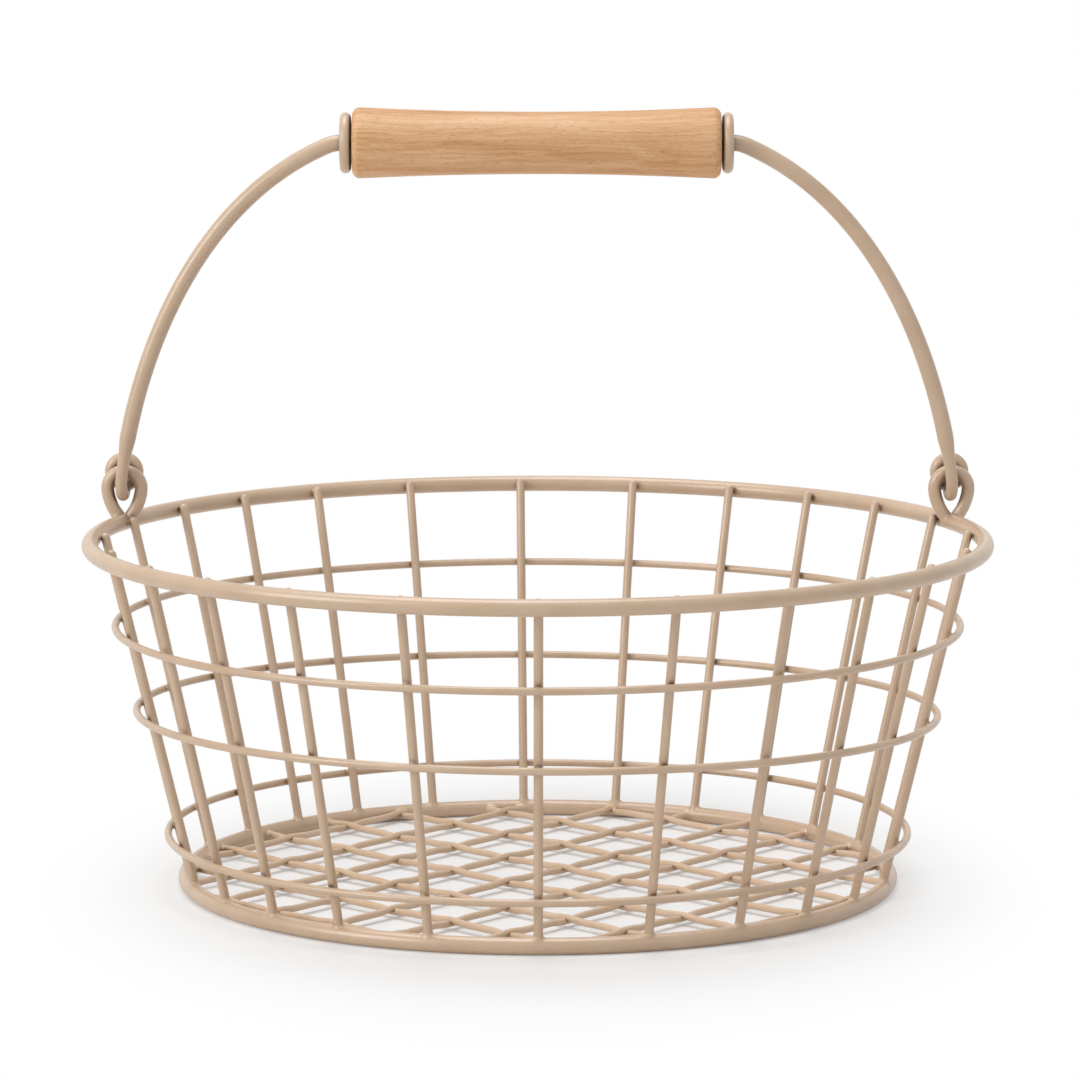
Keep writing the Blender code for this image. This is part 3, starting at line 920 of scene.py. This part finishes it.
def collar(name):
    """A washer with a round edge, whose bore reaches a little into the bail's wire."""
    low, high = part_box(name)
    centre = (low + high) / 2
    half = (high.x - low.x) / 2
    outer = (high.z - low.z) / 2
    bore = BAIL_WIRE / 2
    throat = (half * COLLAR_THROAT_SHARE, bore * COLLAR_BORE_SHARE)
    mouth = (half, bore + COLLAR_BORE_RISE)
    rim_edge = arc((0.0, outer - half), half, 0.0, math.pi, COLLAR_EDGE_STEPS)
    outline = [throat, mouth] + rim_edge + [(-mouth[0], mouth[1]), (-throat[0], throat[1])]
    shape = Shape()
    shape.add(*turned_skin(outline, centre))
    shape.piece(name + "_washer", "bail", [name], COAT)


rim()
base_ring()
for hoop_name in HOOP_HEIGHTS:
    hoop(hoop_name)
staves()
base_mesh()
ear("ear_left", -1)
ear("ear_right", 1)
bail()
collar("collar_left")
collar("collar_right")
grip()


# Stage, light and camera

FLOOR_REACH = 14.0
FLOOR_TONE = 0.84

# The floor's own tone fades into a white glow between two distances, sooner to the sides than to
# the front. The far floor is an evenly white backdrop; nearer, the glow is painted light that
# lightens the basket's shadow, a little of it even under the basket
FADE_SQUEEZE = (1.5, 1.0, 1.0)
FADE_START = 0.125
FADE_END = 0.26
LEAST_PAINTED_GLOW = 0.15

# The even part of the fill, and a soft lobe of it
FILL = 0.40
FILL_LOBE_HEADING = Vector((-0.3, -0.7, 0.65)).normalized()
FILL_LOBE_SHARPNESS = 4.0
FILL_LOBE_STRENGTH = 0.4


def floor():
    """White floor: the basket's shadow, lightened by painted glow, fades into the white behind."""
    material, tree, shader = new_material("white_floor")
    set_up(
        tree,
        shader,
        Base_Color=(*grey(FLOOR_TONE), 1),
        Roughness=0.7,
        Specular_IOR_Level=0.1,
    )
    place = tree.nodes.new("ShaderNodeTexCoord").outputs["Object"]
    squeezed = maths(tree, "ShaderNodeVectorMath", "MULTIPLY", place, FADE_SQUEEZE)
    away = maths(tree, "ShaderNodeVectorMath", "LENGTH", squeezed.outputs["Vector"])
    fade = node(
        tree,
        "ShaderNodeMapRange",
        interpolation_type="SMOOTHSTEP",
        Value=away.outputs["Value"],
        From_Min=FADE_START,
        From_Max=FADE_END,
        To_Min=LEAST_PAINTED_GLOW,
    )
    seen = seen_by(tree, "Is Camera Ray", "Is Glossy Ray")
    share = maths(tree, "ShaderNodeMath", "MULTIPLY", fade.outputs["Result"], seen)
    # Painted light: near the basket this glow lightens the shadow
    glow = node(tree, "ShaderNodeEmission", Color=(1, 1, 1, 1), Strength=1.0)
    surface = mix_shaders(
        tree, share.outputs["Value"], shader.outputs["BSDF"], glow.outputs["Emission"]
    )
    output = next(n for n in tree.nodes if n.type == "OUTPUT_MATERIAL")
    tree.links.new(surface, output.inputs["Surface"])
    mesh = bpy.data.meshes.new("floor")
    far = FLOOR_REACH
    corners = [(-far, -far, 0), (far, -far, 0), (far, far, 0), (-far, far, 0)]
    mesh.from_pydata(corners, [], [(0, 1, 2, 3)])
    mesh.materials.append(material)
    made = bpy.data.objects.new("floor", mesh)
    bpy.context.scene.collection.objects.link(made)


def world():
    """White where the camera, a reflection or glass sees it, and a soft studio fill elsewhere."""
    made = bpy.data.worlds.new("studio")
    bpy.context.scene.world = made
    made.use_nodes = True
    tree = made.node_tree
    tree.nodes.clear()
    heading = tree.nodes.new("ShaderNodeTexCoord").outputs["Generated"]
    facing = maths(tree, "ShaderNodeVectorMath", "DOT_PRODUCT", heading, FILL_LOBE_HEADING)
    lit = maths(tree, "ShaderNodeMath", "MAXIMUM", facing.outputs["Value"], 0.0)
    lobe = maths(tree, "ShaderNodeMath", "POWER", lit.outputs["Value"], FILL_LOBE_SHARPNESS)
    lobe = lobe.outputs["Value"]
    strength = maths(tree, "ShaderNodeMath", "MULTIPLY_ADD", lobe, FILL_LOBE_STRENGTH, FILL)
    strength = strength.outputs["Value"]
    fill = node(tree, "ShaderNodeBackground", Color=(1, 1, 1, 1), Strength=strength)
    white = node(tree, "ShaderNodeBackground", Color=(1, 1, 1, 1), Strength=1.0)
    seen = seen_by(tree, "Is Camera Ray", "Is Glossy Ray", "Is Transmission Ray")
    sources = (fill.outputs["Background"], white.outputs["Background"])
    node(tree, "ShaderNodeOutputWorld", Surface=mix_shaders(tree, seen, *sources))


def lamp(name, place, target, size, power):
    data = bpy.data.lights.new(name, "AREA")
    data.shape = "SQUARE"
    data.size = size
    data.energy = power
    made = bpy.data.objects.new(name, data)
    bpy.context.scene.collection.objects.link(made)
    made.location = place
    made.rotation_euler = (Vector(target) - Vector(place)).to_track_quat("-Z", "Y").to_euler()


# The camera that was fitted to the photo
CAMERA_PLACE = (0.00072, -1.8191, 0.3692)
CAMERA_PITCH = math.radians(82.022)
CAMERA_LENS = 185.68
CAMERA_SENSOR = 36.0


def camera():
    data = bpy.data.cameras.new("camera")
    data.sensor_width = CAMERA_SENSOR
    data.lens = CAMERA_LENS
    made = bpy.data.objects.new("camera", data)
    bpy.context.scene.collection.objects.link(made)
    made.location = CAMERA_PLACE
    made.rotation_euler = (CAMERA_PITCH, 0.0, 0.0)
    bpy.context.scene.camera = made


floor()
world()
lamp("left", place=(-3.3, -2.0, 1.9), target=(0.0, 0.0, 0.12), size=2.2, power=62.0)
lamp("top", place=(-0.4, 0.5, 4.0), target=(0.0, 0.0, 0.1), size=2.8, power=86.0)
camera()
bpy.context.scene.view_settings.view_transform = "Standard"
